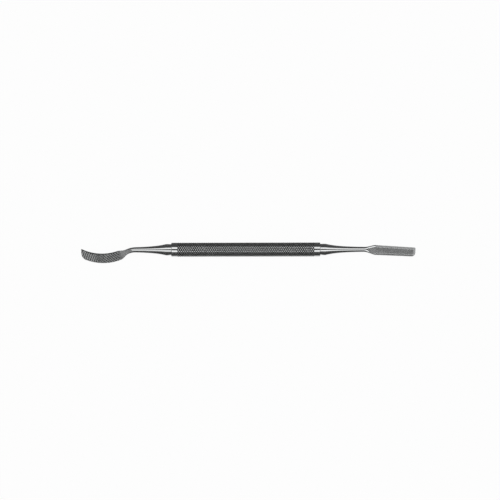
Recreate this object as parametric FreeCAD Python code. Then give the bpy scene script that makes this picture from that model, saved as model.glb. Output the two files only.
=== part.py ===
"""Double-ended bone file: a knurled tubular handle with a file blade pressed into each end.

Lengths are millimetres and angles are degrees. The handle's axis is X, with the straight file at +X and the
curved file at -X, and the origin is the middle of that axis. Both blades lie in one plane, the tool's plane. A
place in it is given by the distance out from the handle's end and by the rise across the handle, and height is
measured out of it, towards the curved file's teeth. The finished tool is rolled about X into the pose in which it
comes to rest on a table, with its collars and the rim of the curved blade touching the table.
"""
import FreeCAD, Part
import math
import os

# Handle: a tube with a diamond knurl between two plain collars
HANDLE_LENGTH = 79.3
HANDLE_DIAMETER = 7.6
COLLAR_LENGTH = 3.2
COLLAR_CHAMFER = 0.25
BORE_DIAMETER = 5.55
BORE_CHAMFER = 0.12
KNURL_STARTS = 12
KNURL_PITCH = 1.135
KNURL_DEPTH = 0.32
KNURL_RELIEF = 0.04

# Root of each working end: a plug in the bore, a plain barrel seated on the handle's end, and a hollow taper
PRESS_CLEARANCE = 0.0
PLUG_LENGTH = 12.0
PLUG_CHAMFER = 0.6
BARREL_DIAMETER = 6.1
BARREL_LENGTH = 3.0
TURNING_STEP = 0.03
TAPER_LENGTH = 7.2
NECK_DIAMETER = 2.55

# Curved file: a neck that dips and flattens, then a crescent that curves back up
DIP_START = 19.0
DIP_RADIUS = 11.2
DIP_ANGLE = 28.4
CRESCENT_RADIUS = 25.9
CRESCENT_RISE_ANGLE = 26.0
CRESCENT_WIDTH = 5.05
CRESCENT_TIP_WIDTH = 4.3
CRESCENT_THICKNESS = 1.3
CRESCENT_FLARE_FROM = -1.0
CRESCENT_FLARE_TO = 4.0
CRESCENT_TIP_SLANT = 28.9
CRESCENT_UPPER_CORNER = 0.5
CRESCENT_LOWER_CORNER = 2.1
CRESCENT_FLATTEN_FROM = -3.0
CRESCENT_FLATTEN_TO = 0.8
INNER_BEVEL_WIDTH = 0.85
INNER_BEVEL_DEPTH = 0.42

# Cross-cut teeth of the curved file: two families of V grooves, with angles measured from the handle's axis
CUT_DEPTH = 0.42
CUT_ANGLE = 96.0
OVERCUT_PITCH = 1.12
OVERCUT_ANGLE = 68.0
UPCUT_PITCH = 1.05
UPCUT_ANGLE = 142.0
FIELD_START = 2.5
FIELD_BORDER_ANGLE = 135.0

# Straight file: a slim blade whose flat back is bevelled along both sides and at the tip
BEND_START = 22.2
BEND_RADIUS = 40.0
BEND_ANGLE = 3.1
STRAIGHT_REACH = 26.4
STRAIGHT_WIDTH = 5.25
STRAIGHT_TIP_WIDTH = 4.75
STRAIGHT_THICKNESS = 1.2
STRAIGHT_FLARE = 6.4
STRAIGHT_UPPER_CORNER = 0.5
STRAIGHT_LOWER_CORNER = 2.0
SIDE_BEVEL_WIDTH = 1.0
SIDE_BEVEL_DEPTH = 0.42
TIP_BEVEL_LENGTH = 1.1
TIP_BEVEL_DEPTH = 0.6

# Single-cut teeth under the straight file: a steep face and a long sloping back
TOOTH_PITCH = 1.15
TOOTH_DEPTH = 0.4
TOOTH_FACE_ANGLE = 80.0
TOOTH_BACK_ANGLE = 26.0

# Angles from the top and from the bottom of the round neck at which the blades' four sides begin
CRESCENT_SPREAD = (45.0, 45.0)
STRAIGHT_SPREAD = (25.0, 60.0)

# Room of the tooth cutters beyond the metal, the arcs of each taper, and the spans of each neck's loft
TOOL_ROOM = 0.05
TAPER_ARCS = 3
NECK_SECTIONS = 6

HANDLE_RADIUS = HANDLE_DIAMETER / 2
BORE_RADIUS = BORE_DIAMETER / 2
PLUG_RADIUS = BORE_RADIUS - PRESS_CLEARANCE
BARREL_RADIUS = BARREL_DIAMETER / 2
NECK_RADIUS = NECK_DIAMETER / 2
SEAM = HANDLE_LENGTH / 2
ORIGIN = FreeCAD.Vector(0, 0, 0)
AXIS = FreeCAD.Vector(1, 0, 0)
ACROSS = FreeCAD.Vector(0, 1, 0)
OUT_OF_PLANE = FreeCAD.Vector(0, 0, 1)
STRAIGHT_SIDE = 1
CURVED_SIDE = -1


def closed_face(corners):
    """A flat face on a polygon, closed back to its first corner."""
    return Part.Face(Part.makePolygon(corners + corners[:1]))


def knurl_ring(place, row):
    """Corners of the knurl at one place along the handle, where crests and groove crossings take turns."""
    corners = []
    for column in range(2 * KNURL_STARTS):
        is_crest = (column + row) % 2
        radius = HANDLE_RADIUS - KNURL_RELIEF - (0 if is_crest else KNURL_DEPTH)
        angle = math.pi * column / KNURL_STARTS
        corners.append(FreeCAD.Vector(place, radius * math.cos(angle), radius * math.sin(angle)))
    return corners


def knurl_facets(rings):
    """Four-sided pyramids between the rings, parted by grooves that follow the low diagonals."""
    facets = []
    for row, (near, far) in enumerate(zip(rings, rings[1:])):
        for column in range(len(near)):
            beside = (column + 1) % len(near)
            if (row + column) % 2:
                groove = [far[column], near[beside]]
                crests = [near[column], far[beside]]
            else:
                groove = [near[column], far[beside]]
                crests = [near[beside], far[column]]
            facets += [closed_face(groove + [crest]) for crest in crests]
    return facets


def handle_tube():
    """The knurled tube, with a plain collar and a chamfered mouth at each end."""
    knurl_end = SEAM - COLLAR_LENGTH
    rows = 2 * round(2 * knurl_end / KNURL_PITCH)
    rings = [knurl_ring(knurl_end * (2 * row / rows - 1), row) for row in range(rows + 1)]
    faces = knurl_facets(rings)
    half_outline = [
        (knurl_end, HANDLE_RADIUS),
        (SEAM - COLLAR_CHAMFER, HANDLE_RADIUS),
        (SEAM, HANDLE_RADIUS - COLLAR_CHAMFER),
        (SEAM, BORE_RADIUS + BORE_CHAMFER),
        (SEAM - BORE_CHAMFER, BORE_RADIUS),
    ]
    outline = half_outline + [(-place, radius) for place, radius in reversed(half_outline)]
    skin = Part.makePolygon([FreeCAD.Vector(place, radius, 0) for place, radius in outline])
    faces += skin.revolve(ORIGIN, AXIS, 360).Faces
    for ring in (rings[0], rings[-1]):
        rim = Part.Circle(FreeCAD.Vector(ring[0].x, 0, 0), AXIS, HANDLE_RADIUS).toShape()
        shoulder = [Part.Wire(rim), Part.makePolygon(ring + ring[:1])]
        faces.append(Part.makeFace(shoulder, "Part::FaceMakerBullseye"))
    return Part.makeSolid(Part.makeShell(faces))


def ease(value, start, end):
    """A smooth step: 0 up to start, 1 from end on."""
    share = min(max((value - start) / (end - start), 0.0), 1.0)
    return share * share * (3 - 2 * share)


def follow(spans, distance):
    """Place, rise and direction at a distance along tangent arcs, given as (length, turn) and then straight on."""
    place = rise = direction = 0.0
    for length, turn in spans + [(math.inf, 0.0)]:
        step = min(distance, length)
        half_turn = turn * step / length / 2
        chord = step * math.sin(half_turn) / half_turn if half_turn else step
        place += chord * math.cos(direction + half_turn)
        rise += chord * math.sin(direction + half_turn)
        direction += 2 * half_turn
        distance -= step
        if distance <= 0:
            break
    return place, rise, direction


def beside_path(side, spans, distance, across, height):
    """A point of a working end, where across is measured square to its path."""
    place, rise, direction = follow(spans, distance)
    place -= across * math.sin(direction)
    rise += across * math.cos(direction)
    return FreeCAD.Vector(side * (SEAM + place), rise, height)


def taper_radius(distance):
    """Radius of the root past its barrel, where a hollow taper dies away to the neck."""
    fall = math.exp(-(distance - BARREL_LENGTH) / TAPER_LENGTH)
    return NECK_RADIUS + (BARREL_RADIUS - TURNING_STEP - NECK_RADIUS) * fall


def root(side, reach):
    """The turned root of a working end: the plug in the bore, the barrel and the hollow taper."""

    def corner(place, radius):
        return FreeCAD.Vector(side * (SEAM + place), radius, 0)

    steps = [BARREL_LENGTH + (reach - BARREL_LENGTH) * k / (2 * TAPER_ARCS) for k in range(2 * TAPER_ARCS + 1)]
    points = [corner(place, taper_radius(place)) for place in steps]
    taper = [Part.Arc(*points[k:k + 3]).toShape() for k in range(0, 2 * TAPER_ARCS, 2)]
    outline = [
        corner(reach, taper_radius(reach)),
        corner(reach, 0),
        corner(-PLUG_LENGTH, 0),
        corner(-PLUG_LENGTH, PLUG_RADIUS - PLUG_CHAMFER),
        corner(PLUG_CHAMFER - PLUG_LENGTH, PLUG_RADIUS),
        corner(0, PLUG_RADIUS),
        corner(0, BARREL_RADIUS),
        corner(BARREL_LENGTH, BARREL_RADIUS),
        corner(BARREL_LENGTH, taper_radius(BARREL_LENGTH)),
    ]
    profile = Part.Face(Part.Wire(taper + Part.makePolygon(outline).Edges))
    return profile.revolve(ORIGIN, AXIS, 360)


def round_section(radius, spread):
    """A circle as a four-sided section: corner, middle, corner and so on round it, from the top right."""
    top, bottom = spread[0], 180 - spread[1]
    angles = [top, 0, -top, -(top + bottom) / 2, -bottom, 180, bottom, (top + bottom) / 2]
    return [(radius * math.sin(math.radians(a)), radius * math.cos(math.radians(a))) for a in angles]


def plate_section(half_width, thickness):
    """A flat bar as a four-sided section."""
    level = thickness / 2
    return [
        (half_width, level), (0, level), (-half_width, level), (-half_width, 0),
        (-half_width, -level), (0, -level), (half_width, -level), (half_width, 0),
    ]


def blended(first, second, width_share, height_share):
    """A section between two others, with its own share of the change in width and in height."""
    return [
        (a + width_share * (c - a), b + height_share * (d - b))
        for (a, b), (c, d) in zip(first, second)
    ]


def section_wire(side, spans, distance, section):
    """A four-sided section set square to the path, each side an arc, or a line where it is flat."""
    points = [beside_path(side, spans, distance, across, height) for across, height in section]
    edges = []
    for index in (0, 2, 4, 6):
        start, middle, finish = points[index], points[index + 1], points[(index + 2) % 8]
        bulge = middle.distanceToLine(start, finish - start)
        if bulge > 1e-5:
            edges.append(Part.Arc(start, middle, finish).toShape())
        else:
            edges.append(Part.LineSegment(start, finish).toShape())
    return Part.Wire(edges)


def neck_loft(side, spans, start, end, section_at):
    """The stretch in which the round neck turns into the blade, lofted through evenly spaced sections."""
    stations = [start + (end - start) * k / NECK_SECTIONS for k in range(NECK_SECTIONS + 1)]
    wires = [section_wire(side, spans, station, section_at(station)) for station in stations]
    return Part.makeLoft(wires, True, False)


def blade_plate(edges, thickness, corners):
    """A flat blade between its upper and lower edge, with the two corners of its tip rounded."""
    starts = [edge.firstVertex().Point for edge in edges]
    ends = [edge.lastVertex().Point for edge in edges]
    tip = Part.LineSegment(*ends).toShape()
    foot = Part.LineSegment(*starts).toShape()
    plate = Part.Face(Part.Wire([edges[0], tip, edges[1], foot])).extrude(OUT_OF_PLANE * thickness)
    for end, radius in zip(ends, corners):
        middle = Part.Vertex(end + OUT_OF_PLANE * thickness / 2)
        upright = min(plate.Edges, key=lambda candidate: candidate.distToShape(middle)[0])
        plate = plate.makeFillet(radius, [upright])
    return plate


def curved_spans():
    """Path of the curved file: the straight root, the dip, and the crescent's long curve back up."""
    dip = math.radians(DIP_ANGLE)
    rise = math.radians(DIP_ANGLE + CRESCENT_RISE_ANGLE)
    return [(DIP_START, 0.0), (DIP_RADIUS * dip, -dip), (CRESCENT_RADIUS * rise, rise)]


def curved_section(distance, crescent_start):
    """Section of the curved file's neck, which flattens first and then widens."""
    neck = round_section(taper_radius(distance), CRESCENT_SPREAD)
    plate = plate_section(CRESCENT_WIDTH / 2, CRESCENT_THICKNESS)
    past_start = distance - crescent_start
    width_share = ease(past_start, CRESCENT_FLARE_FROM, CRESCENT_FLARE_TO)
    height_share = ease(past_start, CRESCENT_FLATTEN_FROM, CRESCENT_FLATTEN_TO)
    return blended(neck, plate, width_share, height_share)


def crescent_edge(spans, plate_start, edge, level):
    """The crescent's upper (1) or lower (-1) edge, as an arc from the neck to the slanting tip."""
    end = sum(length for length, turn in spans)
    lowest = end - CRESCENT_RADIUS * math.radians(CRESCENT_RISE_ANGLE)
    corner = end + edge * CRESCENT_TIP_WIDTH / 2 * math.tan(math.radians(CRESCENT_TIP_SLANT))
    stations = [(plate_start, CRESCENT_WIDTH), (lowest, CRESCENT_WIDTH), (corner, CRESCENT_TIP_WIDTH)]
    points = [beside_path(CURVED_SIDE, spans, distance, edge * width / 2, level) for distance, width in stations]
    return Part.Arc(*points).toShape()


def crescent_plate(spans, plate_start):
    """The flat crescent between its two arcs."""
    edges = [crescent_edge(spans, plate_start, edge, -CRESCENT_THICKNESS / 2) for edge in (1, -1)]
    return blade_plate(edges, CRESCENT_THICKNESS, (CRESCENT_UPPER_CORNER, CRESCENT_LOWER_CORNER))


def inner_bevel(spans, plate_start):
    """A cone turned about the centre of the crescent's upper edge, which bevels that edge."""
    edge = crescent_edge(spans, plate_start, 1, CRESCENT_THICKNESS / 2)
    circle = edge.Curve
    start = edge.firstVertex().Point
    outward = (start - circle.Center).normalize() * INNER_BEVEL_WIDTH
    drop = OUT_OF_PLANE * INNER_BEVEL_DEPTH
    lift = OUT_OF_PLANE * CRESCENT_THICKNESS
    profile = [start + outward, start - outward - drop * 2, start - outward + lift, start + outward + lift]
    turn = math.degrees((edge.Length + CRESCENT_WIDTH) / circle.Radius)
    return closed_face(profile).revolve(circle.Center, OUT_OF_PLANE * -1, turn)


def tooth_field(spans, crescent_start):
    """The stretch of the crescent that carries teeth: from a slanting border to past its tip."""
    border = beside_path(CURVED_SIDE, spans, crescent_start + FIELD_START, 0, -CRESCENT_THICKNESS)
    tip = beside_path(CURVED_SIDE, spans, sum(length for length, turn in spans) + CRESCENT_WIDTH, 0, border.z)
    slant = math.radians(FIELD_BORDER_ANGLE)
    along = FreeCAD.Vector(math.cos(slant), math.sin(slant), 0) * 2 * CRESCENT_WIDTH
    corners = [border + along, border - along, tip - ACROSS * 2 * CRESCENT_WIDTH, tip + ACROSS * CRESCENT_WIDTH]
    return closed_face(corners).extrude(OUT_OF_PLANE * 2 * CRESCENT_THICKNESS)


def groove_family(field, pitch, angle):
    """Parallel V grooves in the crescent's face, ended at the field's border."""
    half_mouth = math.tan(math.radians(CUT_ANGLE / 2)) * (CUT_DEPTH + TOOL_ROOM)
    box = field.BoundBox
    middle = FreeCAD.Vector(box.Center.x, box.Center.y, CRESCENT_THICKNESS / 2)
    turn = math.radians(angle)
    along = FreeCAD.Vector(math.cos(turn), math.sin(turn), 0)
    aside = FreeCAD.Vector(-math.sin(turn), math.cos(turn), 0)
    reach = box.DiagonalLength / 2
    grooves = []
    for index in range(-int(reach / pitch), int(reach / pitch) + 1):
        foot = middle + aside * (index * pitch) - along * reach
        mouth = foot + OUT_OF_PLANE * TOOL_ROOM
        corners = [foot - OUT_OF_PLANE * CUT_DEPTH, mouth + aside * half_mouth, mouth - aside * half_mouth]
        grooves += closed_face(corners).extrude(along * 2 * reach).common(field).Solids
    return grooves


def curved_file_end():
    """The curved working end, with a bevelled inner edge and cross-cut teeth on its upper side."""
    spans = curved_spans()
    crescent_start = DIP_START + spans[1][0]
    plate_start = crescent_start + CRESCENT_FLARE_TO
    neck = neck_loft(CURVED_SIDE, spans, DIP_START, plate_start, lambda at: curved_section(at, crescent_start))
    file = root(CURVED_SIDE, DIP_START).fuse([neck, crescent_plate(spans, plate_start)])
    file = file.cut(inner_bevel(spans, plate_start))
    field = tooth_field(spans, crescent_start)
    file = file.cut(groove_family(field, OVERCUT_PITCH, OVERCUT_ANGLE))
    file = file.cut(groove_family(field, UPCUT_PITCH, UPCUT_ANGLE))
    return file.Solids[0]


def straight_spans():
    """Path of the straight file: the root, a slight bend at the neck, and the blade."""
    bend = math.radians(BEND_ANGLE)
    return [(BEND_START, 0.0), (BEND_RADIUS * bend, -bend), (STRAIGHT_REACH, 0.0)]


def straight_section(distance, flare_start, blade_start):
    """Section of the straight file's neck, which widens and flattens together."""
    neck = round_section(taper_radius(distance), STRAIGHT_SPREAD)
    plate = plate_section(STRAIGHT_WIDTH / 2, STRAIGHT_THICKNESS)
    share = ease(distance, flare_start, blade_start)
    return blended(neck, plate, share, share)


def straight_edge(spans, blade_start, edge, level):
    """The straight file's upper (1) or lower (-1) edge, from the neck to the tip."""
    end = sum(length for length, turn in spans)
    near = beside_path(STRAIGHT_SIDE, spans, blade_start, edge * STRAIGHT_WIDTH / 2, level)
    far = beside_path(STRAIGHT_SIDE, spans, end, edge * STRAIGHT_TIP_WIDTH / 2, level)
    return Part.LineSegment(near, far).toShape()


def side_bevel(spans, blade_start, edge):
    """What is ground off the straight file's back along one edge, running out over the flare."""
    line = straight_edge(spans, blade_start, edge, STRAIGHT_THICKNESS / 2)
    near = line.firstVertex().Point
    far = line.lastVertex().Point
    along = (far - near).normalize()
    outward = OUT_OF_PLANE.cross(along) * edge
    start = near - along * STRAIGHT_FLARE
    slope = outward * SIDE_BEVEL_WIDTH - OUT_OF_PLANE * SIDE_BEVEL_DEPTH
    inner = start - outward * SIDE_BEVEL_WIDTH - slope
    outer = inner + slope * 3
    above = outer + OUT_OF_PLANE * 3 * SIDE_BEVEL_DEPTH
    return closed_face([inner, outer, above]).extrude(along * (STRAIGHT_FLARE + STRAIGHT_REACH))


def tip_bevel(spans):
    """What is ground off the straight file's back at its tip."""
    end = sum(length for length, turn in spans)
    level = STRAIGHT_THICKNESS / 2
    slope = TIP_BEVEL_DEPTH / TIP_BEVEL_LENGTH
    profile = [
        (end - TIP_BEVEL_LENGTH, level),
        (end + TIP_BEVEL_LENGTH, level - 2 * slope * TIP_BEVEL_LENGTH),
        (end + TIP_BEVEL_LENGTH, level + TIP_BEVEL_DEPTH),
        (end - TIP_BEVEL_LENGTH, level + TIP_BEVEL_DEPTH),
    ]
    return across_blade(spans, profile)


def across_blade(spans, profile):
    """A prism right across the straight file on a profile of distances and heights."""
    near = [beside_path(STRAIGHT_SIDE, spans, distance, -STRAIGHT_WIDTH, height) for distance, height in profile]
    far = beside_path(STRAIGHT_SIDE, spans, profile[0][0], STRAIGHT_WIDTH, profile[0][1])
    return closed_face(near).extrude(far - near[0])


def single_cuts(spans, field_start):
    """Saw-shaped grooves square across the straight file's underside, from its tip back to field_start."""
    end = sum(length for length, turn in spans)
    level = -STRAIGHT_THICKNESS / 2
    face_run = (TOOTH_DEPTH + TOOL_ROOM) / math.tan(math.radians(TOOTH_FACE_ANGLE))
    back_run = (TOOTH_DEPTH + TOOL_ROOM) / math.tan(math.radians(TOOTH_BACK_ANGLE))
    grooves = []
    for index in range(int((end - field_start) / TOOTH_PITCH)):
        bottom = end - (index + 1) * TOOTH_PITCH
        profile = [
            (bottom, level + TOOTH_DEPTH),
            (bottom - face_run, level - TOOL_ROOM),
            (bottom + back_run, level - TOOL_ROOM),
        ]
        grooves.append(across_blade(spans, profile))
    return grooves


def straight_file_end():
    """The straight working end, with a bevelled back and single-cut teeth underneath."""
    spans = straight_spans()
    flare_start = BEND_START + spans[1][0] / 2
    blade_start = flare_start + STRAIGHT_FLARE

    def neck_section(distance):
        return straight_section(distance, flare_start, blade_start)

    neck = neck_loft(STRAIGHT_SIDE, spans, BEND_START, blade_start, neck_section)
    edges = [straight_edge(spans, blade_start, edge, -STRAIGHT_THICKNESS / 2) for edge in (1, -1)]
    blade = blade_plate(edges, STRAIGHT_THICKNESS, (STRAIGHT_UPPER_CORNER, STRAIGHT_LOWER_CORNER))
    bevels = [side_bevel(spans, blade_start, edge) for edge in (1, -1)] + [tip_bevel(spans)]
    file = root(STRAIGHT_SIDE, BEND_START).fuse([neck, blade])
    file = file.cut(bevels).cut(single_cuts(spans, blade_start))
    return file.Solids[0]


def rest_roll(file):
    """Angle of roll at which the curved blade's rim first meets the table that the collars lie on."""
    rolls = []
    for edge in file.Edges:
        for point in edge.discretize(Number=5):
            offset = math.hypot(point.y, point.z)
            if offset > HANDLE_RADIUS and point.y < 0:
                rolls.append(math.asin(HANDLE_RADIUS / offset) - math.atan2(-point.z, -point.y))
    return math.degrees(min(rolls))


def main():
    """Builds the three pieces, rolls them into their pose at rest, and writes one file for each."""
    parts = {
        "handle_tube": handle_tube(),
        "curved_file_end": curved_file_end(),
        "straight_file_end": straight_file_end(),
    }
    roll = rest_roll(parts["curved_file_end"])
    print(f"roll at rest: {roll:.2f} degrees")
    os.makedirs("parts", exist_ok=True)
    for name, shape in parts.items():
        shape.rotate(ORIGIN, AXIS, roll)
        shape.exportStep(f"parts/{name}.step")
        print(f"{name}: {len(shape.Faces)} faces, {shape.Volume:.1f} mm3, valid {shape.isValid()}")


main()
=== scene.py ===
"""Looks of the double-ended bone file: three steel pieces as fine surfaces, their finishes, and the studio.

Sizes are millimetres and angles are degrees, until a mesh is written in metres. Each piece is worked out in
the tool's own frame: x runs along the handle's axis towards the straight file, rise is across the handle in
the plane of both blades, and height stands out of that plane towards the curved file's teeth. The finished
tool is rolled about x into the pose in which it rests, with the curved blade's rim on the table.
"""

import logging
from dataclasses import dataclass
from enum import Enum

import bpy
import numpy as np
from mathutils import Matrix, Vector

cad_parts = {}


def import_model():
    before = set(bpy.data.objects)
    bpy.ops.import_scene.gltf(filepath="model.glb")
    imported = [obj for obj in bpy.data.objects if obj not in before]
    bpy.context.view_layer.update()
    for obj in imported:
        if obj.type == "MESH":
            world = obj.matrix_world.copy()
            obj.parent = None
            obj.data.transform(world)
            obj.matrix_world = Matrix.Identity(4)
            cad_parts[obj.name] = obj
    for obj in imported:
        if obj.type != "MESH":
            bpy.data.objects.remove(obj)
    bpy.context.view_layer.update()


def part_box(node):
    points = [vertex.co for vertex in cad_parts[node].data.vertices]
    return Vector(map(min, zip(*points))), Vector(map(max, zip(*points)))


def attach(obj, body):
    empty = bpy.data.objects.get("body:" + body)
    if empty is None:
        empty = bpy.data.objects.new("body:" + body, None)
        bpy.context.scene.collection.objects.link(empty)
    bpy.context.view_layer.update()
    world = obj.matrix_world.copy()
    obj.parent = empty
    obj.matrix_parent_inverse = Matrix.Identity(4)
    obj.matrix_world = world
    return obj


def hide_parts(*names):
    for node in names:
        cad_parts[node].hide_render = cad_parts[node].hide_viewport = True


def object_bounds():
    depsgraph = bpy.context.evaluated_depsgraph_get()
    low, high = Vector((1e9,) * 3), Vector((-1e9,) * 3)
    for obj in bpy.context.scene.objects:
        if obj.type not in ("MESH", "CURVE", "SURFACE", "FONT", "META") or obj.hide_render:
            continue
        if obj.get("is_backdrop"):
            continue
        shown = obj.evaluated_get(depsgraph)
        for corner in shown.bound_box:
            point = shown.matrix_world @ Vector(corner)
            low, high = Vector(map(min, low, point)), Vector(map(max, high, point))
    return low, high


Array = np.ndarray
Arrays = tuple[Array, ...]
Pair = tuple[float, float]
Triple = tuple[float, float, float]
Object = bpy.types.Object
Node = bpy.types.Node
Tree = bpy.types.NodeTree

MM = 0.001
ENDLESS = 1e6
REST_ROLL = 27.48
LOG = logging.getLogger("bone_file")


class Side(Enum):
    """The end of the handle that a working end is pressed into."""

    STRAIGHT = 1
    CURVED = -1


class Slot(Enum):
    """The record's material slots."""

    KNURLED = "knurled_steel"
    POLISHED = "polished_steel"
    SATIN = "satin_steel"


def ease(value: Array, start: float, end: float) -> Array:
    """A smooth step from 0 at start to 1 at end: share squared, times three minus twice the share."""
    share = np.clip((value - start) / (end - start), 0.0, 1.0)
    return share * share * (3.0 - 2.0 * share)


def new_object(name: str, data: bpy.types.ID) -> Object:
    """Adds an object to the scene, at the origin.

    Args:
        name: Its name.
        data: Its mesh or camera.

    Returns:
        The object.
    """
    added = bpy.data.objects.new(name, data)
    bpy.context.collection.objects.link(added)
    return added


@dataclass
class Skin:
    """A closed surface on a grid of rows and columns, with two numbers for each of its points.

    One says how deep in a cut the point lies, which the material paints darker as shade, and the other how
    far it shows the worked finish.
    """

    points: Array
    faces: list[Array]
    shaded_cut: Array
    worked: Array

    def as_object(self, name: str, crease: float) -> Object:
        """Rolls the surface about x into the tool's rest and writes it into an object at the origin.

        Args:
            name: The object's name.
            crease: The angle past which an edge shows sharp.

        Returns:
            The object, with a point attribute for each number.
        """
        turn = np.radians(REST_ROLL)
        x, rise, height = self.points.reshape(-1, 3).T
        y = rise * np.cos(turn) - height * np.sin(turn)
        z = rise * np.sin(turn) + height * np.cos(turn)
        mesh = bpy.data.meshes.new(name)
        faces = [face for block in self.faces for face in block.tolist()]
        mesh.from_pydata((np.stack([x, y, z], axis=1) * MM).tolist(), [], faces)
        for label in ("shaded_cut", "worked"):
            values = getattr(self, label).ravel().astype(np.float32)
            mesh.attributes.new(name=label, type="FLOAT", domain="POINT").data.foreach_set("value", values)
        mesh.shade_smooth()
        mesh.set_sharp_from_angle(angle=np.radians(crease))
        mesh.update()
        return new_object(name, mesh)


def tube_quads(rows: int, columns: int) -> Array:
    """Quads between neighbouring rows of a tube whose columns close on themselves.

    Face (r, c) has the corners (r, c), (r, c + 1), (r + 1, c + 1) and (r + 1, c), with the columns in a ring.

    Args:
        rows: Number of rows of points.
        columns: Number of points in a row.

    Returns:
        Point numbers of each face.
    """
    row, column = np.meshgrid(np.arange(rows - 1), np.arange(columns), indexing="ij")
    beside = (column + 1) % columns
    near, far = row * columns, (row + 1) * columns
    return np.stack([near + column, near + beside, far + beside, far + column], axis=-1).reshape(-1, 4)


@dataclass(frozen=True)
class Path:
    """A working end's centre line: arcs of a length and a turn in radians each, and then straight on."""

    spans: tuple[Pair, ...]

    @property
    def length(self) -> float:
        """Length of all the spans."""
        return sum(length for length, turn in self.spans)

    def follow(self, distance: Array) -> Arrays:
        """Walks along the arcs, each of which adds its chord in the direction of its middle.

        Args:
            distance: Distances along the path.

        Returns:
            Place out from the handle's end, rise across it, and direction in radians.
        """
        place, rise, direction = (np.zeros_like(distance) for axis in range(3))
        left = distance
        for length, turn in self.spans + ((ENDLESS, 0.0),):
            step = np.minimum(left, length)
            half_turn = turn * step / length / 2.0
            chord = step * np.sinc(half_turn / np.pi)
            place = place + chord * np.cos(direction + half_turn)
            rise = rise + chord * np.sin(direction + half_turn)
            direction = direction + 2.0 * half_turn
            left = np.maximum(left - step, 0.0)
        return place, rise, direction

    def beside(self, distance: Array, across: Array) -> Arrays:
        """Place and rise of points off the path: the centre line, moved across by its turned normal."""
        place, rise, direction = self.follow(distance)
        return place - across * np.sin(direction), rise + across * np.cos(direction)


def rounded_sides(corners: Array, samples: tuple[int, ...]) -> Array:
    """Four-sided sections as closed rings, each side being the arc through its two corners and its middle.

    With half chord h and sagitta s an arc turns by four times the arctangent of s over h, and as a rational
    quadratic its weight is the cosine of half that turn.

    Args:
        corners: Sections as (stations, 8, 2): corner, middle, corner and so on.
        samples: Number of steps along each of the four sides.

    Returns:
        Rings as (stations, sum of samples, 2).
    """
    rings = []
    for side, steps in enumerate(samples):
        first, middle, last = (corners[:, index % 8] for index in (2 * side, 2 * side + 1, 2 * side + 2))
        centre = (first + last) / 2.0
        sagitta = middle - centre
        half_chord = np.linalg.norm(last - first, axis=1, keepdims=True) / 2.0
        turn = 4.0 * np.arctan2(np.linalg.norm(sagitta, axis=1, keepdims=True), half_chord)
        weight = np.cos(turn / 2.0)
        pull = weight * centre + sagitta * (1.0 + weight)
        share = (np.arange(steps) / steps)[None, :, None]
        to_first, to_pull, to_last = (1 - share) ** 2, 2 * share * (1 - share), share ** 2
        over = to_first * first[:, None] + to_pull * pull[:, None] + to_last * last[:, None]
        rings.append(over / (to_first + to_pull * weight[:, None] + to_last))
    return np.concatenate(rings, axis=1)


def circle_through(start: Array, middle: Array, end: Array) -> tuple[Array, float]:
    """The circle through three places, whose centre is as far from the first as from each of the others.

    Args:
        start: First place, as (2,).
        middle: A place on the way.
        end: Last place.

    Returns:
        Its centre and its radius.
    """
    system = 2.0 * np.stack([middle - start, end - start])
    centre = np.linalg.solve(system, [middle @ middle - start @ start, end @ end - start @ start])
    return centre, np.linalg.norm(start - centre)


def arc_through(places: list[Array], share: Array) -> Array:
    """Points of the arc through three places, at shares of its turn from the first to the last.

    Args:
        places: The places, in order.
        share: Shares from 0 to 1, or a little past them.

    Returns:
        Points as (shares, 2).
    """
    centre, radius = circle_through(*places)
    angles = [np.arctan2(*(place - centre)[::-1]) for place in places]
    angle = angles[0] + share * (np.unwrap(angles)[-1] - angles[0])
    return centre + radius * np.stack([np.cos(angle), np.sin(angle)], axis=-1)


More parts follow.
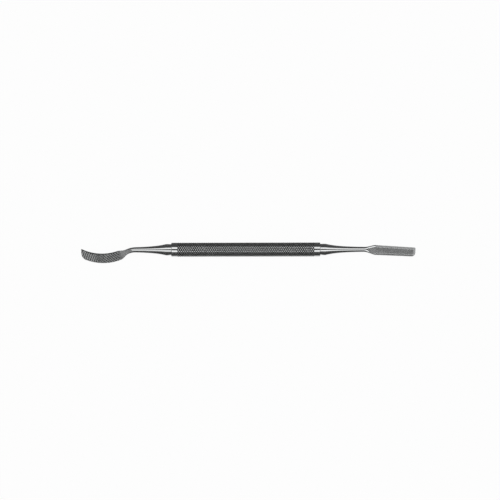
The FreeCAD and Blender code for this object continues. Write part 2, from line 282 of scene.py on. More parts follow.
@dataclass
class KnurledHandle:
    """The tube that is held: a diamond knurl between two plain collars, with a bore from end to end."""

    length: float
    radius: float
    collar_length: float = 3.2
    collar_chamfer: float = 0.25
    bore_radius: float = 2.775
    bore_chamfer: float = 0.12
    starts: int = 12
    pitch: float = 1.135
    depth: float = 0.32
    relief: float = 0.02
    crest_flat: float = 0.42
    groove_shade_share: float = 0.3
    unevenness: float = 0.05
    drift_waves: Pair = (19.0, 43.0)
    steps: int = 4
    crease: float = 24.0

    @property
    def knurl_end(self) -> float:
        """How far the knurl reaches from the middle of the handle."""
        return self.length / 2.0 - self.collar_length

    def pyramid(self, column: Array, row: Array) -> Array:
        """Height of the knurl as a share of its depth: 0 in a groove, and 1 on a crest, which is flat.

        Grooves run where column plus row, and column less row, are even. Each leaves a ramp that grows to 1
        halfway to its neighbour, and the lower ramp counts, so four-sided pyramids are left between them.
        """
        ramps = [np.abs((lane / 2.0 + 0.5) % 1.0 - 0.5) * 2.0 for lane in (column + row, column - row)]
        return np.minimum(np.minimum(*ramps) / (1.0 - self.crest_flat), 1.0)

    def knurl(self) -> Arrays:
        """The knurled stretch, whose depth drifts a little by two crossing waves.

        Returns:
            Places along the handle, and radii and shares of full height as (rows, columns).
        """
        lattice_rows = 2 * round(2.0 * self.knurl_end / self.pitch)
        row = np.arange(lattice_rows * self.steps + 1)[:, None] / self.steps
        column = np.arange(2 * self.starts * self.steps)[None, :] / self.steps
        height = self.pyramid(column, row)
        turn = np.pi * column / self.starts
        along = row / lattice_rows
        slow, fast = self.drift_waves
        drift = np.sin(2.0 * turn + slow * along) * np.cos(fast * along - turn)
        depth = self.depth * (1.0 + self.unevenness * (drift - 1.0))
        radius = self.radius - self.relief - depth * (1.0 - height)
        return self.knurl_end * (2.0 * along[:, 0] - 1.0), radius, height

    def skin(self) -> Skin:
        """The whole tube: the knurl's rows, then those of a mouth, the bore and the other mouth, in a ring.

        Returns:
            The surface, marked for painted shade in its grooves and worked over the knurled stretch.
        """
        place, radius, height = self.knurl()
        end = self.length / 2.0
        mouth = np.array([
            (self.knurl_end, self.radius),
            (end - self.collar_chamfer, self.radius),
            (end, self.radius - self.collar_chamfer),
            (end, self.bore_radius + self.bore_chamfer),
            (end - self.bore_chamfer, self.bore_radius),
        ])
        rest = np.concatenate([mouth, mouth[::-1] * (-1.0, 1.0)])
        columns = radius.shape[1]
        radii = np.concatenate([radius, np.repeat(rest[:, 1:], columns, axis=1)])
        along = np.repeat(np.concatenate([place, rest[:, 0]])[:, None], columns, axis=1)
        angle = 2.0 * np.pi * np.arange(columns) / columns
        quads = tube_quads(len(radii) + 1, columns) % radii.size
        knurled = (len(place) - 1) * columns
        # Painted shade: points low in a groove are marked for a darker tone.
        groove_shade = ease(1.0 - height, 0.0, self.groove_shade_share)
        return Skin(
            points=np.stack([along, radii * np.cos(angle), radii * np.sin(angle)], axis=-1),
            faces=[self.folded(quads[:knurled], columns), quads[knurled:]],
            shaded_cut=np.concatenate([groove_shade, np.zeros((len(rest), columns))]),
            worked=np.repeat(np.arange(len(radii)) < len(place), columns),
        )

    def folded(self, quads: Array, columns: int) -> Array:
        """Splits the knurl's quads along its grooves, whose diagonal changes with each lattice cell.

        Args:
            quads: The knurl's faces, row by row.
            columns: Number of points in a row.

        Returns:
            Two triangles for each quad.
        """
        number = np.arange(len(quads))
        cell = number // columns // self.steps + number % columns // self.steps
        corner = np.where((cell % 2 == 0)[:, None], quads, np.roll(quads, -1, axis=1))
        return np.concatenate([corner[:, [0, 1, 2]], corner[:, [0, 2, 3]]])

    def build(self) -> Object:
        """Makes the handle's object."""
        return self.skin().as_object("knurled_handle", self.crease)


@dataclass
class WorkingEnd:
    """What both working ends share: the plug in the bore, the barrel, the hollow taper and the neck."""

    seam: float
    width: float
    tip_width: float
    name: str
    plug_radius: float = 2.775
    barrel_radius: float = 3.05
    plug_length: float = 12.0
    plug_chamfer: float = 0.6
    barrel_length: float = 3.0
    turning_step: float = 0.03
    taper_length: float = 7.2
    neck_radius: float = 1.275
    thickness: float = 1.3
    upper_corner: float = 0.5
    lower_corner: float = 2.0
    spread: Pair = (45.0, 45.0)
    run_out: float = 0.17
    ground_from: float = 0.02
    tip_pull: int = 3
    face_steps: int = 64
    rim_steps: int = 16
    taper_steps: int = 40
    neck_steps: int = 90
    blade_steps: int = 260
    crease: float = 32.0
    side: Side = Side.STRAIGHT

    def path(self) -> Path:
        """The centre line."""
        raise NotImplementedError

    def blade_start(self) -> float:
        """Distance at which the blade has its full section."""
        raise NotImplementedError

    def neck_shares(self, distance: Array) -> Arrays:
        """How far the neck has turned into the blade, in width and in height."""
        raise NotImplementedError

    def outline(self, share: Array) -> Arrays:
        """The upper and the lower edge in plan, each (shares, 2), at shares from the neck to the tip."""
        raise NotImplementedError

    def upper_level(self, plan: Array) -> Arrays:
        """Height of the upper face over its plan, and the shares of tooth depth and of the blade's finish."""
        raise NotImplementedError

    def under_level(self, plan: Array) -> Arrays:
        """Height of the under face over its plan, and the share of tooth depth. It is flat and smooth."""
        return np.full(plan.shape[:2], -self.thickness / 2.0), np.zeros(plan.shape[:2])

    def neck_start(self) -> float:
        """Distance at which the path first bends and the turned root ends."""
        return self.path().spans[0][0]

    def flat_end(self) -> float:
        """Distance from which the flats are at the blade's level."""
        return self.blade_start()

    def flat_rise(self, distance: Array) -> Array:
        """How far the cuts that run out over the neck stand above the blade's level, as a column."""
        return self.run_out * np.clip(self.flat_end() - distance, 0.0, None)[:, None]

    def taper_radius(self, distance: Array) -> Array:
        """Radius past the barrel: the neck's, plus a difference that dies away exponentially."""
        fall = np.exp(-(distance - self.barrel_length) / self.taper_length)
        return self.neck_radius + (self.barrel_radius - self.turning_step - self.neck_radius) * fall

    def round_corners(self, radius: Array) -> Array:
        """Circles as four-sided sections.

        Args:
            radius: One radius for each station.

        Returns:
            Sections as (stations, 8, 2).
        """
        top, bottom = self.spread[0], 180.0 - self.spread[1]
        between = (top + bottom) / 2.0
        turn = np.radians([top, 0.0, -top, -between, -bottom, 180.0, bottom, between])
        return radius[:, None, None] * np.stack([np.sin(turn), np.cos(turn)], axis=-1)

    def plate_corners(self) -> Array:
        """A flat bar as one four-sided section, (8, 2)."""
        sides = [(1, 1), (0, 1), (-1, 1), (-1, 0), (-1, -1), (0, -1), (1, -1), (1, 0)]
        return np.array(sides) * (self.width / 2.0, self.thickness / 2.0)

    def neck_rings(self) -> Arrays:
        """Sections from the plug to the start of the blade: circles first, and then blends with the flat bar.

        Returns:
            Distances, and rings as (stations, columns, 2).
        """
        turned = np.array([
            (-self.plug_length, self.plug_radius - self.plug_chamfer),
            (self.plug_chamfer - self.plug_length, self.plug_radius),
            (0.0, self.plug_radius),
            (0.0, self.barrel_radius),
            (self.barrel_length, self.barrel_radius),
        ])
        taper = np.linspace(self.barrel_length, self.neck_start(), self.taper_steps, endpoint=False)
        neck = np.linspace(self.neck_start(), self.blade_start(), self.neck_steps, endpoint=False)
        hollow = np.concatenate([taper, neck])
        distance = np.concatenate([turned[:, 0], hollow])
        circles = self.round_corners(np.concatenate([turned[:, 1], self.taper_radius(hollow)]))
        shares = np.stack(self.neck_shares(distance), axis=-1)[:, None, :]
        blended = circles + shares * (self.plate_corners() - circles)
        return distance, rounded_sides(blended, (self.face_steps, self.rim_steps) * 2)

    def plan(self) -> Array:
        """The blade's face in plan: straight lines across it, which stand closer at both of its edges.

        The line at a share of the way across stops short of the tip where a corner is round. At a distance d
        from the edge, a corner of radius r takes off r less the root of r squared less (r - d) squared. Rows
        give way to it by the third power of their share of the length.

        Returns:
            Places as (rows, face_steps + 1, 2).
        """
        across = (1.0 - np.cos(np.linspace(0.0, np.pi, self.face_steps + 1))) / 2.0
        across = (across + np.linspace(0.0, 1.0, self.face_steps + 1)) / 2.0
        upper, lower = self.outline(np.array([0.0, 1.0]))
        blade_length = np.linalg.norm(upper[1] + lower[1] - upper[0] - lower[0]) / 2.0
        tip_width = np.linalg.norm(upper[1] - lower[1])
        cut = np.zeros_like(across)
        for offset, radius in ((across, self.upper_corner), (1.0 - across, self.lower_corner)):
            short = np.clip(radius - offset * tip_width, 0.0, radius)
            cut += radius - np.sqrt(radius ** 2 - short ** 2)
        row = np.linspace(0.0, 1.0, self.blade_steps)[:, None]
        share = row * (1.0 - cut / blade_length * row ** self.tip_pull)
        upper, lower = self.outline(share.ravel())
        mix = np.broadcast_to(across, share.shape).ravel()[:, None]
        return (upper + mix * (lower - upper)).reshape(*share.shape, 2)

    def trimmed(self, points: Array, distance: Array, across: Array) -> Arrays:
        """The neck, less the flats, which start at the blade's level and rise by a slope towards the handle.

        Args:
            points: Its sections, as (stations, columns, 3).
            distance: Distances of the stations.
            across: How far each point lies above the centre line in plan.

        Returns:
            The sections, and how far each point shows the blade's finish.
        """
        flat = self.thickness / 2.0 + self.flat_rise(distance)
        ground = ease(np.abs(points[..., 2]) - flat, 0.0, self.ground_from)
        points[..., 2] = np.clip(points[..., 2], -flat, flat)
        return points, np.maximum(ground, self.neck_shares(distance)[1][:, None])

    def blade(self) -> Arrays:
        """The blade's rings: the upper face, the lower rim down, the under face back, and the upper rim up.

        Returns:
            Points as (rows, columns, 3), and the shares of tooth depth, which mark painted shade in the cuts,
            and of the blade's finish.
        """
        plan = self.plan()
        top, top_cut_shade, top_ground = self.upper_level(plan)
        under, under_cut_shade = self.under_level(plan)
        climb = np.arange(self.rim_steps)[None, :] / self.rim_steps
        rims = []
        for column, start, end in ((-1, top, under), (0, under, top)):
            level = start[:, column, None] * (1.0 - climb) + end[:, column, None] * climb
            place = np.repeat(plan[:, column, None, :], self.rim_steps, axis=1)
            rims.append(np.concatenate([place, level[..., None]], axis=-1))
        upper_face = np.concatenate([plan, top[..., None]], axis=-1)[:, :-1]
        under_face = np.concatenate([plan, under[..., None]], axis=-1)[:, :0:-1]
        points = np.concatenate([upper_face, rims[0], under_face, rims[1]], axis=1)
        bare = np.zeros((len(plan), self.rim_steps))
        # The tooth-depth shares mark where the material paints shade in the cuts.
        cut = np.concatenate([top_cut_shade[:, :-1], bare, under_cut_shade[:, :0:-1], bare], axis=1)
        ground = np.ones_like(cut)
        ground[:, :self.face_steps] = top_ground[:, :-1]
        return points, cut, ground

    def skin(self) -> Skin:
        """The whole working end as one closed tube from the plug's end to the tip.

        Returns:
            The surface, marked for painted shade in its cuts and worked where it is ground.
        """
        distance, rings = self.neck_rings()
        neck = np.stack([*self.path().beside(distance[:, None], rings[..., 0]), rings[..., 1]], axis=-1)
        worked = np.zeros(neck.shape[:2])
        past = distance >= self.neck_start()
        neck[past], worked[past] = self.trimmed(neck[past], distance[past], rings[past, :, 0])
        blade, cut, ground = self.blade()
        points = np.concatenate([neck, blade])
        rows, columns = points.shape[:2]
        order = self.side.value
        points[..., 0] = order * (self.seam + points[..., 0])
        caps = [np.arange(columns)[None, :]] + self.tip_faces((rows - 1) * columns)
        return Skin(
            points=points,
            faces=[tube_quads(rows, columns)[:, ::order]] + [cap[:, ::-order] for cap in caps],
            shaded_cut=np.concatenate([np.zeros_like(worked), cut]),
            worked=np.concatenate([worked, ground]),
        )

    def tip_faces(self, first: int) -> list[Array]:
        """The end of the tip: quads between the upper and the under face, and a face that takes in each rim.

        Args:
            first: Number of the last ring's first point.

        Returns:
            Blocks of point numbers.
        """
        face, rim = self.face_steps, self.rim_steps
        upper = np.arange(1, face - 1)
        under = 2 * face + rim - upper
        blocks = [np.stack([upper, under, under - 1, upper + 1], axis=-1)]
        for start, turned in ((face - 1, 1), (2 * face + rim - 1, -1)):
            around = start + np.roll(np.arange(rim + 3)[::-1], turned)[None, :]
            blocks.append(around % (2 * (face + rim)))
        return [first + block for block in blocks]

    def build(self) -> Object:
        """Makes the working end's object."""
        return self.skin().as_object(self.name, self.crease)


@dataclass
class CurvedFile(WorkingEnd):
    """The curved working end: a neck that dips, and a crescent with cross-cut teeth and a bevelled edge."""

    width: float = 5.05
    tip_width: float = 4.3
    lower_corner: float = 2.1
    side: Side = Side.CURVED
    name: str = "curved_file"
    dip_start: float = 19.0
    dip_radius: float = 11.2
    dip_angle: float = 28.4
    crescent_radius: float = 25.9
    rise_angle: float = 26.0
    tip_slant: float = 28.9
    flare: Pair = (-1.0, 4.0)
    flattening: Pair = (0.6, 2.9)
    run_out: float = 0.12
    flat_past: float = 2.7
    bevel_width: float = 0.85
    bevel_depth: float = 0.42
    teeth_end: float = 0.8
    cut_depth: float = 0.42
    cut_angle: float = 96.0
    overcut: Pair = (1.12, 68.0)
    upcut: Pair = (1.05, 142.0)
    field_start: float = 2.5
    border_angle: float = 135.0
    border_run: float = 0.12
    fade_length: float = 7.0
    fade_overlap: float = 0.2
    weaker: float = 0.7

    def path(self) -> Path:
        """The straight root, the dip, and the crescent's long curve back up."""
        dip, rise = np.radians([self.dip_angle, self.dip_angle + self.rise_angle])
        curve = (self.crescent_radius * rise, rise)
        return Path(((self.dip_start, 0.0), (self.dip_radius * dip, -dip), curve))

    def crescent_start(self) -> float:
        """Distance at which the dip turns into the crescent's curve."""
        return self.dip_start + self.dip_radius * np.radians(self.dip_angle)

    def blade_start(self) -> float:
        """The crescent is full past its flare."""
        return self.crescent_start() + self.flare[1]

    def flat_end(self) -> float:
        """The flats reach the blade's level a little past the dip."""
        return self.crescent_start() + self.flat_past

    def neck_shares(self, distance: Array) -> Arrays:
        """The neck widens over the flare, and has the blade's square edges before that."""
        past = distance - self.crescent_start()
        return ease(past, *self.flare), ease(past, *self.flattening)

    def edge_places(self, edge: int) -> list[Array]:
        """The three places that one edge's arc runs through.

        Args:
            edge: 1 for the upper edge and -1 for the lower one.

        Returns:
            Its start at the neck, its lowest place and its corner at the tip.
        """
        path = self.path()
        lowest = path.length - self.crescent_radius * np.radians(self.rise_angle)
        corner = path.length + edge * self.tip_width / 2.0 * np.tan(np.radians(self.tip_slant))
        distance = np.array([self.blade_start(), lowest, corner])
        across = edge * np.array([self.width, self.width, self.tip_width]) / 2.0
        return list(np.stack(path.beside(distance, across), axis=-1))

    def outline(self, share: Array) -> Arrays:
        """Both edges as arcs."""
        return tuple(arc_through(self.edge_places(edge), share) for edge in (1, -1))

    def groove(self, place: Array, pitch: float, angle: float) -> Array:
        """Depth of one family of parallel V grooves.

        The depth falls evenly from each groove's line to nothing at half the groove's mouth, which is the
        depth times the tangent of half the groove's angle.

        Args:
            place: Places as x and rise, counted from one that a groove runs through.
            pitch: Distance between grooves.
            angle: Their direction, from the handle's axis.

        Returns:
            Depths at those places.
        """
        turn = np.radians(angle)
        aside = place @ np.array([-np.sin(turn), np.cos(turn)])
        off = np.abs((aside / pitch + 0.5) % 1.0 - 0.5) * pitch
        half_mouth = self.cut_depth * np.tan(np.radians(self.cut_angle / 2.0))
        return self.cut_depth * np.clip(1.0 - off / half_mouth, 0.0, 1.0)

    def upper_level(self, plan: Array) -> Arrays:
        """The cross-cut face: the deeper of both families' grooves and of the cone that bevels its edge.

        The overcut is the stronger one towards the tip, and the upcut towards the heel. The bevel falls
        evenly to the inner edge's circle, and the teeth end on it.

        Args:
            plan: Places as (rows, columns, 2).

        Returns:
            The face's height, and the shares of tooth depth and of the blade's finish.
        """
        border = np.stack(self.path().beside(self.crescent_start() + self.field_start, np.array(0.0)))
        slant = np.radians(self.border_angle)
        beyond = (plan - border) @ np.array([np.sin(slant), np.cos(slant)])
        place = plan * (-1.0, 1.0)
        place -= (place.min(axis=(0, 1)) + place.max(axis=(0, 1))) / 2.0
        to_heel = np.clip(place[..., 0] / self.fade_length, -1.0, 1.0)
        depths = []
        for family, away in ((self.overcut, to_heel), (self.upcut, -to_heel)):
            faded = self.weaker * np.clip(self.fade_overlap + away, 0.0, 1.0)
            depths.append(self.groove(place, *family) * (1.0 - faded))
        centre, radius = circle_through(*self.edge_places(1))
        from_edge = np.linalg.norm(plan - centre, axis=-1) - radius
        bevel = self.bevel_depth * np.clip(1.0 - from_edge / self.bevel_width, 0.0, 1.0)
        ground = ease(from_edge, self.bevel_width * self.teeth_end, self.bevel_width)
        teeth = np.clip(beyond / self.border_run, 0.0, 1.0) * np.maximum(*depths) * ground
        return self.thickness / 2.0 - np.maximum(teeth, bevel), teeth / self.cut_depth, ground


@dataclass
class StraightFile(WorkingEnd):
    """The straight working end: a slim blade with a bevelled back and single-cut teeth underneath."""

    width: float = 5.25
    tip_width: float = 4.75
    thickness: float = 1.2
    spread: Pair = (25.0, 60.0)
    name: str = "straight_file"
    bend_start: float = 22.2
    bend_radius: float = 40.0
    bend_angle: float = 3.1
    reach: float = 26.4
    flare: float = 6.4
    late_flattening: float = 2.6
    bevel_width: float = 1.0
    bevel_depth: float = 0.42
    bevel_rise: float = 2.5
    facet_width: float = 1.0
    facet_slope: float = 0.29
    facet_growth: float = 0.4
    facet_fade: float = 0.5
    rim_share: float = 0.45
    rim_slope: float = 0.9
    tip_bevel_length: float = 1.1
    tip_bevel_depth: float = 0.6
    tooth_pitch: float = 1.15
    tooth_depth: float = 0.4
    tooth_face_angle: float = 80.0
    tooth_back_angle: float = 26.0

    def path(self) -> Path:
        """The root, a slight bend at the neck, and the blade."""
        bend = np.radians(self.bend_angle)
        return Path(((self.bend_start, 0.0), (self.bend_radius * bend, -bend), (self.reach, 0.0)))

    def flare_start(self) -> float:
        """The flare begins halfway through the bend."""
        return self.bend_start + self.bend_radius * np.radians(self.bend_angle) / 2.0

    def blade_start(self) -> float:
        """The blade is full past the flare."""
        return self.flare_start() + self.flare

    def neck_shares(self, distance: Array) -> Arrays:
        """The neck widens over the flare, and has the blade's square edges at its end."""
        end = self.blade_start()
        return ease(distance, self.flare_start(), end), ease(distance, end - self.late_flattening, end)

    def edge_line(self, edge: int) -> Array:
        """One edge of the blade in plan.

        Args:
            edge: 1 for the upper edge and -1 for the lower one.

        Returns:
            Its start at the neck and its corner at the tip, as (2, 2).
        """
        path = self.path()
        distance = np.array([self.blade_start(), path.length])
        across = edge * np.array([self.width, self.tip_width]) / 2.0
        return np.stack(path.beside(distance, across), axis=-1)

    def outline(self, share: Array) -> Arrays:
        """Both edges as straight lines."""
        edges = (self.edge_line(edge) for edge in (1, -1))
        return tuple(start + share[:, None] * (end - start) for start, end in edges)

    def bevels(self, plan: Array) -> Array:
        """Level of the planes ground along both sides of the back.

        Each rises from its depth below the back at the edge to the back's level at its width, and on.

        Args:
            plan: Places as (..., 2).

        Returns:
            The lower plane's level at each place.
        """
        levels = []
        for edge in (1, -1):
            start, end = self.edge_line(edge)
            along = (end - start) / np.linalg.norm(end - start)
            inward = (plan - start) @ (edge * np.array([along[1], -along[0]]))
            levels.append(self.thickness / 2.0 + self.bevel_depth * (inward / self.bevel_width - 1.0))
        return np.minimum(*levels)

    def trimmed(self, points: Array, distance: Array, across: Array) -> Arrays:
        """The neck, less the flats, the side bevels that run out over it, and a polished facet.

        The facet falls by its slope to the flare's upper edge, and by the rim's slope more near that.

        Args:
            points: Its sections, as (stations, columns, 3).
            distance: Distances of the stations.
            across: How far each point lies above the centre line in plan.

        Returns:
            The sections, and how far each point shows the blade's finish.
        """
        points, ground = super().trimmed(points, distance, across)
        rise = self.flat_rise(distance)
        points[..., 2] = np.minimum(points[..., 2], self.bevels(points[..., :2]) + self.bevel_rise * rise)
        from_edge = across.max(axis=1, keepdims=True) - across
        start, end = self.flare_start(), self.blade_start()
        grown = ease(distance, start, start + self.facet_growth * self.flare)
        faded = ease(distance, end - self.facet_fade, end + self.facet_fade)
        width = self.facet_width * (grown - faded)[:, None]
        facet = self.thickness / 2.0 + rise - self.facet_slope * (width - from_edge)
        facet -= self.rim_slope * np.clip(self.rim_share * width - from_edge, 0.0, None)
        on_facet = (from_edge < width) & (points[..., 2] > facet)
        points[..., 2] = np.where(on_facet, facet, points[..., 2])
        return points, np.where(on_facet, 0.0, ground)

    def from_tip(self, plan: Array) -> Array:
        """Distance back from the tip along the blade."""
        place, rise, direction = self.path().follow(np.array(self.path().length))
        return (place - plan[..., 0]) * np.cos(direction) + (rise - plan[..., 1]) * np.sin(direction)

    def upper_level(self, plan: Array) -> Arrays:
        """The smooth back, under its side bevels and its tip bevel.

        Args:
            plan: Places as (rows, columns, 2).

        Returns:
            The face's height, and the shares of tooth depth and of the blade's finish.
        """
        slope = self.tip_bevel_depth / self.tip_bevel_length
        tip = self.thickness / 2.0 + slope * (self.from_tip(plan) - self.tip_bevel_length)
        level = np.minimum(np.minimum(self.thickness / 2.0, tip), self.bevels(plan))
        return level, np.zeros_like(level), np.ones_like(level)

    def under_level(self, plan: Array) -> Arrays:
        """The single-cut face.

        From each groove's line the depth dies quickly up a steep face towards the handle, and slowly down a
        sloping back towards the tip.

        Args:
            plan: Places as (rows, columns, 2).

        Returns:
            The face's height, and the share of tooth depth.
        """
        from_tip = self.from_tip(plan)
        behind = from_tip % self.tooth_pitch
        ahead = self.tooth_pitch - behind
        angles = np.radians([self.tooth_face_angle, self.tooth_back_angle])
        face_run, back_run = self.tooth_depth / np.tan(angles)
        share = np.maximum(1.0 - behind / face_run, 1.0 - ahead / back_run)
        share = np.clip(share, 0.0, 1.0) * (from_tip > self.tooth_pitch - back_run)
        return self.tooth_depth * share - self.thickness / 2.0, share


class Graph:
    """A node tree with short calls for adding and linking nodes."""

    def __init__(self, tree: Tree) -> None:
        """Empties the tree and keeps it."""
        tree.nodes.clear()
        self.tree = tree

    def add(self, kind: str, sockets: dict | None = None, **settings: object) -> Node:
        """Adds a node.

        Args:
            kind: Its type.
            sockets: What each input gets, by name or number: a value, an output, or a node, for its first.
            settings: Its own properties.

        Returns:
            The node.
        """
        node = self.tree.nodes.new(kind)
        for name, value in settings.items():
            setattr(node, name, value)
        for name, value in (sockets or {}).items():
            source = value.outputs[0] if isinstance(value, Node) else value
            if isinstance(source, bpy.types.NodeSocket):
                self.tree.links.new(source, node.inputs[name])
            else:
                node.inputs[name].default_value = source
        return node

    def calc(self, operation: str, *terms: object) -> Node:
        """One step of arithmetic."""
        return self.add("ShaderNodeMath", dict(enumerate(terms)), operation=operation)

    def between(self, share: object, low: object, high: object) -> Node:
        """A number that runs from low to high with the share."""
        return self.add("ShaderNodeMix", {0: share, 2: low, 3: high})

    def step(self, value: object, start: float, end: float) -> Node:
        """A smooth step of the value, from 0 at start to 1 at end."""
        return self.add("ShaderNodeMapRange", {0: value, 1: start, 2: end}, interpolation_type="SMOOTHSTEP")

    def noise(self, place: object, scale: float, detail: float) -> Node:
        """Noise over a place, with its finest detail as a number of halvings."""
        return self.add("ShaderNodeTexNoise", {"Vector": place, "Scale": scale, "Detail": detail})


def grey(tone: float) -> tuple[float, ...]:
    """A tone as a colour."""
    return (tone, tone, tone, 1.0)


def new_group(name: str, inputs: dict[str, object], outputs: list[str]) -> tuple[Graph, Node]:
    """Starts a shader node group.

    Args:
        name: The group's name.
        inputs: Each input's name and starting value, one number or three.
        outputs: Names of what it puts out.

    Returns:
        Its graph and its input node.
    """
    tree = bpy.data.node_groups.new(name, "ShaderNodeTree")
    for label, value in inputs.items():
        kind = "NodeSocketFloat" if isinstance(value, float) else "NodeSocketVector"
        tree.interface.new_socket(label, in_out="INPUT", socket_type=kind).default_value = value
    for label in outputs:
        tree.interface.new_socket(label, in_out="OUTPUT", socket_type="NodeSocketFloat")
    graph = Graph(tree)
    return graph, graph.add("NodeGroupInput")


def grain_group() -> Tree:
    """Fine machining lines: noise on the object's coordinates, squeezed across the lines and not along them.

    Returns:
        The group, which takes a stretch and gives the lines.
    """
    graph, given = new_group("grain", {"Stretch": (1.0, 1.0, 1.0)}, ["Lines"])
    place = graph.add("ShaderNodeTexCoord").outputs["Object"]
    squeezed = graph.add("ShaderNodeVectorMath", {0: place, 1: given}, operation="MULTIPLY")
    graph.add("NodeGroupOutput", {"Lines": graph.noise(squeezed, scale=1.0, detail=3.0)})
    return graph.tree


@dataclass(frozen=True)
class Handling:
    """Traces of use: soft smudges from slow noise, and scratches from thin bands of stretched noise."""

    smudge_scale: float = 220.0
    smudge_band: Pair = (0.45, 0.75)
    scratch_turn: Triple = (0.3, 0.5, 0.9)
    scratch_stretch: Triple = (160.0, 2600.0, 900.0)
    scratch_band: float = 0.012

    def group(self) -> Tree:
        """Makes the node group.

        Returns:
            The group, which takes an amount and gives smudges and scratches.
        """
        graph, given = new_group("handling", {"Amount": 1.0}, ["Smudge", "Scratch"])
        place = graph.add("ShaderNodeTexCoord").outputs["Object"]
        smudge = graph.step(graph.noise(place, self.smudge_scale, detail=4.0), *self.smudge_band)
        turning = {"Vector": place, "Rotation": self.scratch_turn, "Scale": self.scratch_stretch}
        streaks = graph.noise(graph.add("ShaderNodeMapping", turning), scale=1.0, detail=1.0)
        off_band = graph.calc("ABSOLUTE", graph.calc("SUBTRACT", streaks, 0.5))
        scratch = graph.step(off_band, self.scratch_band, 0.0)
        graph.add("NodeGroupOutput", {
            "Smudge": graph.calc("MULTIPLY", smudge, given),
            "Scratch": graph.calc("MULTIPLY", scratch, given),
        })
        return graph.tree


@dataclass(frozen=True)
class Surface:
    """One state of a steel surface: how light it is and how rough."""

    tone: float
    roughness: float


@dataclass(frozen=True)
class SteelFinish:
    """A steel piece's finish: its plain stretch, its worked stretch, and the bottoms of the cuts in that,
    rougher and painted darker as shade.
    """

    slot: Slot
    worked: Surface
    shaded_cut: Surface
    worked_stretch: Triple
    plain: Surface = Surface(0.64, 0.08)
    plain_stretch: Triple = (9000.0, 150.0, 150.0)
    grain_roughness: float = 0.05
    grain_height: float = 0.000004
    handling: float = 1.0
    smudge_roughness: float = 0.05
    smudge_tone: float = 0.94
    scratch_roughness: float = 0.1
    warmth: float = 0.985

    def material(self, grain: Tree, handling: Tree) -> bpy.types.Material:
        """Makes the finish's material.

        Args:
            grain: The machining lines' group.
            handling: The group of traces of use.

        Returns:
            The material.
        """
        material = bpy.data.materials.new(self.slot.value)
        material.use_nodes = True
        graph = Graph(material.node_tree)
        worked, shaded_cut = (
            graph.add("ShaderNodeAttribute", attribute_name=label).outputs["Fac"]
            for label in ("worked", "shaded_cut")
        )
        stretches = {0: worked, 4: self.plain_stretch, 5: self.worked_stretch}
        stretch = graph.add("ShaderNodeMix", stretches, data_type="VECTOR").outputs[1]
        lines = graph.add("ShaderNodeGroup", {"Stretch": stretch}, node_tree=grain)
        used = graph.add("ShaderNodeGroup", {"Amount": self.handling}, node_tree=handling)
        smudge, scratch = used.outputs["Smudge"], used.outputs["Scratch"]
        tone = graph.between(worked, self.plain.tone, self.worked.tone)
        # Painted shade: the cut bottoms take a darker tone, standing in for the shade that falls in them.
        tone = graph.between(shaded_cut, tone, self.shaded_cut.tone)
        tone = graph.calc("MULTIPLY", tone, graph.between(smudge, 1.0, self.smudge_tone))
        warm = graph.calc("MULTIPLY", tone, self.warmth)
        rough = graph.between(worked, self.plain.roughness, self.worked.roughness)
        rough = graph.between(shaded_cut, rough, self.shaded_cut.roughness)
        off_grain = graph.calc("SUBTRACT", lines, 0.5)
        for trace, amount in (
            (off_grain, self.grain_roughness),
            (smudge, self.smudge_roughness),
            (scratch, self.scratch_roughness),
        ):
            rough = graph.calc("MULTIPLY_ADD", trace, amount, rough)
        bump = {"Height": lines, "Distance": self.grain_height}
        shader = graph.add("ShaderNodeBsdfPrincipled", {
            "Base Color": graph.add("ShaderNodeCombineColor", {0: warm, 1: tone, 2: tone}),
            "Metallic": 1.0,
            "Roughness": rough,
            "Normal": graph.add("ShaderNodeBump", bump),
        })
        graph.add("ShaderNodeOutputMaterial", {"Surface": shader})
        return material


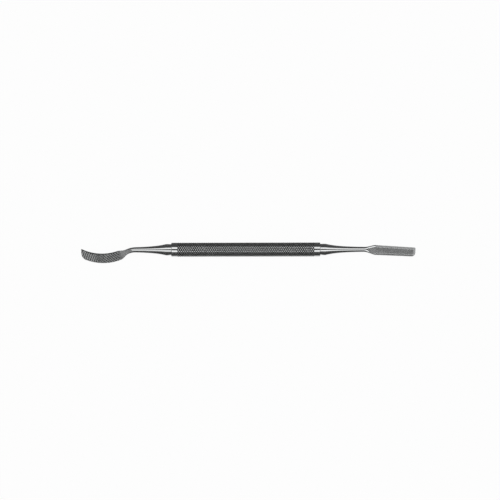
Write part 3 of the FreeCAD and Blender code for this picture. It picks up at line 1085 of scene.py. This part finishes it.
@dataclass(frozen=True)
class Studio:
    """The table, the light tent and the camera.

    The tent is a long white tunnel over the tool with dark gaps in it. Its tone depends on how far a
    direction is turned from the camera's about the tool's axis, so polished steel shows bands along it.
    """

    tilt: float
    table_level: float
    half_handle: float
    half_table: float = 2.0
    table_tone: float = 0.9
    table_glow: float = 0.96
    front_near: Pair = (6.6, 3.6)
    back_near: Pair = (12.0, 7.5)
    gap_slant: float = 2.0
    gap_far: float = 420.0
    gap_lift: float = 0.1
    gap_tone: float = 0.07
    tent: tuple[Pair, ...] = (
        (0.0, 0.02), (10.0, 0.02), (13.5, 1.35), (34.0, 1.35),
        (45.0, 0.04), (98.0, 0.05), (118.0, 0.14), (180.0, 0.14),
    )
    tent_lead: float = -2.0
    end_light: Pair = (0.3, 0.8)
    end_strength: float = 0.15
    open_end: Pair = (0.97, 0.88)
    stray_light: float = 0.04
    pixel: float = 0.533
    handle_middle: Pair = (245.8, 249.64)
    picture: int = 500
    lean: float = 0.12
    lens: float = 160.0
    sensor: float = 36.0

    def world(self) -> None:
        """Lights the scene by the tent, and shows plain white where the camera looks past the table."""
        world = bpy.data.worlds.new("tent")
        bpy.context.scene.world = world
        world.use_nodes = True
        graph = Graph(world.node_tree)
        turning = {
            "Vector": graph.add("ShaderNodeTexCoord").outputs["Generated"],
            "Angle": -np.radians(self.tilt + self.tent_lead),
        }
        level = graph.add("ShaderNodeVectorRotate", turning, rotation_type="X_AXIS")
        parts = graph.add("ShaderNodeSeparateXYZ", {0: level}).outputs
        along, aside = (graph.calc("ABSOLUTE", parts[axis]) for axis in "XY")
        turn = graph.calc("DIVIDE", graph.calc("ARCTAN2", aside, parts["Z"]), np.pi)
        ramp = graph.add("ShaderNodeValToRGB", {0: turn})
        stops = ramp.color_ramp.elements
        while len(stops) < len(self.tent):
            stops.new(0.5)
        brightest = max(tone for angle, tone in self.tent)
        for stop, (angle, tone) in zip(stops, self.tent):
            stop.position = angle / 180.0
            stop.color = grey(tone / brightest)
        bands = graph.calc("MULTIPLY", ramp, brightest)
        lit = graph.calc("MULTIPLY_ADD", graph.step(along, *self.end_light), self.end_strength, bands)
        strength = graph.calc("MULTIPLY_ADD", lit, graph.step(along, *self.open_end), self.stray_light)
        tent, white = (
            graph.add("ShaderNodeBackground", {"Color": grey(1.0), "Strength": value})
            for value in (strength, 1.0)
        )
        seen = graph.add("ShaderNodeLightPath").outputs["Is Camera Ray"]
        shown = graph.add("ShaderNodeMixShader", {0: seen, 1: tent, 2: white})
        graph.add("ShaderNodeOutputWorld", {"Surface": shown})

    def sheet(self, name: str, outline: list[Pair], lift: float, material: bpy.types.Material) -> Object:
        """A flat sheet that faces up.

        Args:
            name: The object's name.
            outline: Its corners as x and y, in metres.
            lift: How far it lies above the table, in millimetres.
            material: Its material.

        Returns:
            The object, marked as stage.
        """
        level = self.table_level + lift * MM
        mesh = bpy.data.meshes.new(name)
        mesh.from_pydata([(x, y, level) for x, y in outline], [], [list(range(len(outline)))])
        mesh.materials.append(material)
        piece = new_object(name, mesh)
        piece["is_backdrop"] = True
        return piece

    def table(self) -> None:
        """The pale table, which glows to the camera and in the steel, and keeps the tool's shadow."""
        material = bpy.data.materials.new("table_white")
        material.use_nodes = True
        graph = Graph(material.node_tree)
        rays = graph.add("ShaderNodeLightPath").outputs
        seen = graph.calc("MAXIMUM", rays["Is Glossy Ray"], rays["Is Transmission Ray"])
        seen = graph.calc("MAXIMUM", rays["Is Camera Ray"], seen)
        shown = graph.add("ShaderNodeMixShader", {
            0: graph.calc("MULTIPLY", seen, self.table_glow),
            1: graph.add("ShaderNodeBsdfDiffuse", {"Color": grey(self.table_tone)}),
            2: graph.add("ShaderNodeEmission", {"Color": grey(1.0)}),
        })
        graph.add("ShaderNodeOutputMaterial", {"Surface": shown})
        half = self.half_table
        self.sheet("table", [(-half, -half), (half, -half), (half, half), (-half, half)], 0.0, material)

    def gap(self) -> None:
        """The tent's dark gap where it reaches below the table's horizon: cards that only reflections see.

        Their near edges stand off the handle, and come closer to the slim shanks.
        """
        material = bpy.data.materials.new("tent_black")
        material.use_nodes = True
        graph = Graph(material.node_tree)
        black = graph.add("ShaderNodeEmission", {"Color": grey(self.gap_tone)})
        graph.add("ShaderNodeOutputMaterial", {"Surface": black})
        far, shank = self.gap_far * MM, self.half_handle + self.gap_slant * MM
        for name, side, near in (("gap_front", -1, self.front_near), ("gap_back", 1, self.back_near)):
            by_handle, by_shank = side * near[0] * MM, side * near[1] * MM
            half = [(far, side * far), (far, by_shank), (shank, by_shank), (self.half_handle, by_handle)]
            outline = half + [(-x, y) for x, y in reversed(half)]
            card = self.sheet(name, outline[::-side], self.gap_lift, material)
            for ray in ("camera", "diffuse", "shadow", "transmission"):
                setattr(card, f"visible_{ray}", False)

    def camera(self) -> None:
        """Looks square onto the plane of the blades, framed as the photograph is."""
        tilt, lean = np.radians([self.tilt, self.lean])
        along = np.array([1.0, 0.0, 0.0])
        rise = np.array([0.0, np.cos(tilt), np.sin(tilt)])
        back = np.cross(along, rise)
        right = np.cos(lean) * along - np.sin(lean) * rise
        up = np.sin(lean) * along + np.cos(lean) * rise
        half = self.picture / 2.0
        aside, above = half - self.handle_middle[0], self.handle_middle[1] - half
        distance = self.picture * self.lens / self.sensor
        data = bpy.data.cameras.new("camera")
        data.sensor_width = self.sensor
        data.lens = self.lens
        camera = new_object("camera", data)
        matrix = Matrix(np.stack([right, up, back], axis=1).tolist()).to_4x4()
        matrix.translation = Vector((aside * right + above * up + distance * back) * self.pixel * MM)
        camera.matrix_world = matrix
        bpy.context.scene.camera = camera

    def build(self) -> None:
        """Sets the whole studio up."""
        self.world()
        self.table()
        self.gap()
        self.camera()
        bpy.context.scene.view_settings.view_transform = "Standard"


# The tone given for the cut bottoms in each finish is painted shade; their roughness is the steel's own.
KNURLED = SteelFinish(
    slot=Slot.KNURLED,
    plain=Surface(0.62, 0.07),
    worked=Surface(0.8, 0.22),
    shaded_cut=Surface(0.1, 0.4),
    worked_stretch=(3000.0, 3000.0, 3000.0),
)
CRESCENT = SteelFinish(
    slot=Slot.POLISHED,
    worked=Surface(0.42, 0.28),
    shaded_cut=Surface(0.2, 0.4),
    worked_stretch=(900.0, 5000.0, 5000.0),
)
STRAIGHT = SteelFinish(
    slot=Slot.SATIN,
    grain_height=0.000002,
    worked=Surface(0.56, 0.27),
    shaded_cut=Surface(0.3, 0.42),
    worked_stretch=(500.0, 6000.0, 6000.0),
)


def main() -> None:
    """Builds the pieces in order, dresses each, and sets up the studio."""
    logging.basicConfig(level=logging.INFO, format="%(message)s")
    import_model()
    low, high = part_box("handle_tube")
    length, radius = (high.x - low.x) / MM, (high.z - low.z) / 2.0 / MM
    seam = length / 2.0
    grain, handling = grain_group(), Handling().group()
    for node, assembly, finish in (
        ("handle_tube", KnurledHandle(length, radius), KNURLED),
        ("curved_file_end", CurvedFile(seam), CRESCENT),
        ("straight_file_end", StraightFile(seam), STRAIGHT),
    ):
        piece = assembly.build()
        piece.data.materials.append(finish.material(grain, handling))
        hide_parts(node)
        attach(piece, "root")
        LOG.info("%s stands for %s with %d faces", piece.name, node, len(piece.data.polygons))
    Studio(tilt=REST_ROLL, table_level=-radius * MM, half_handle=seam * MM).build()
    low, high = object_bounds()


if __name__ == "__main__":
    main()
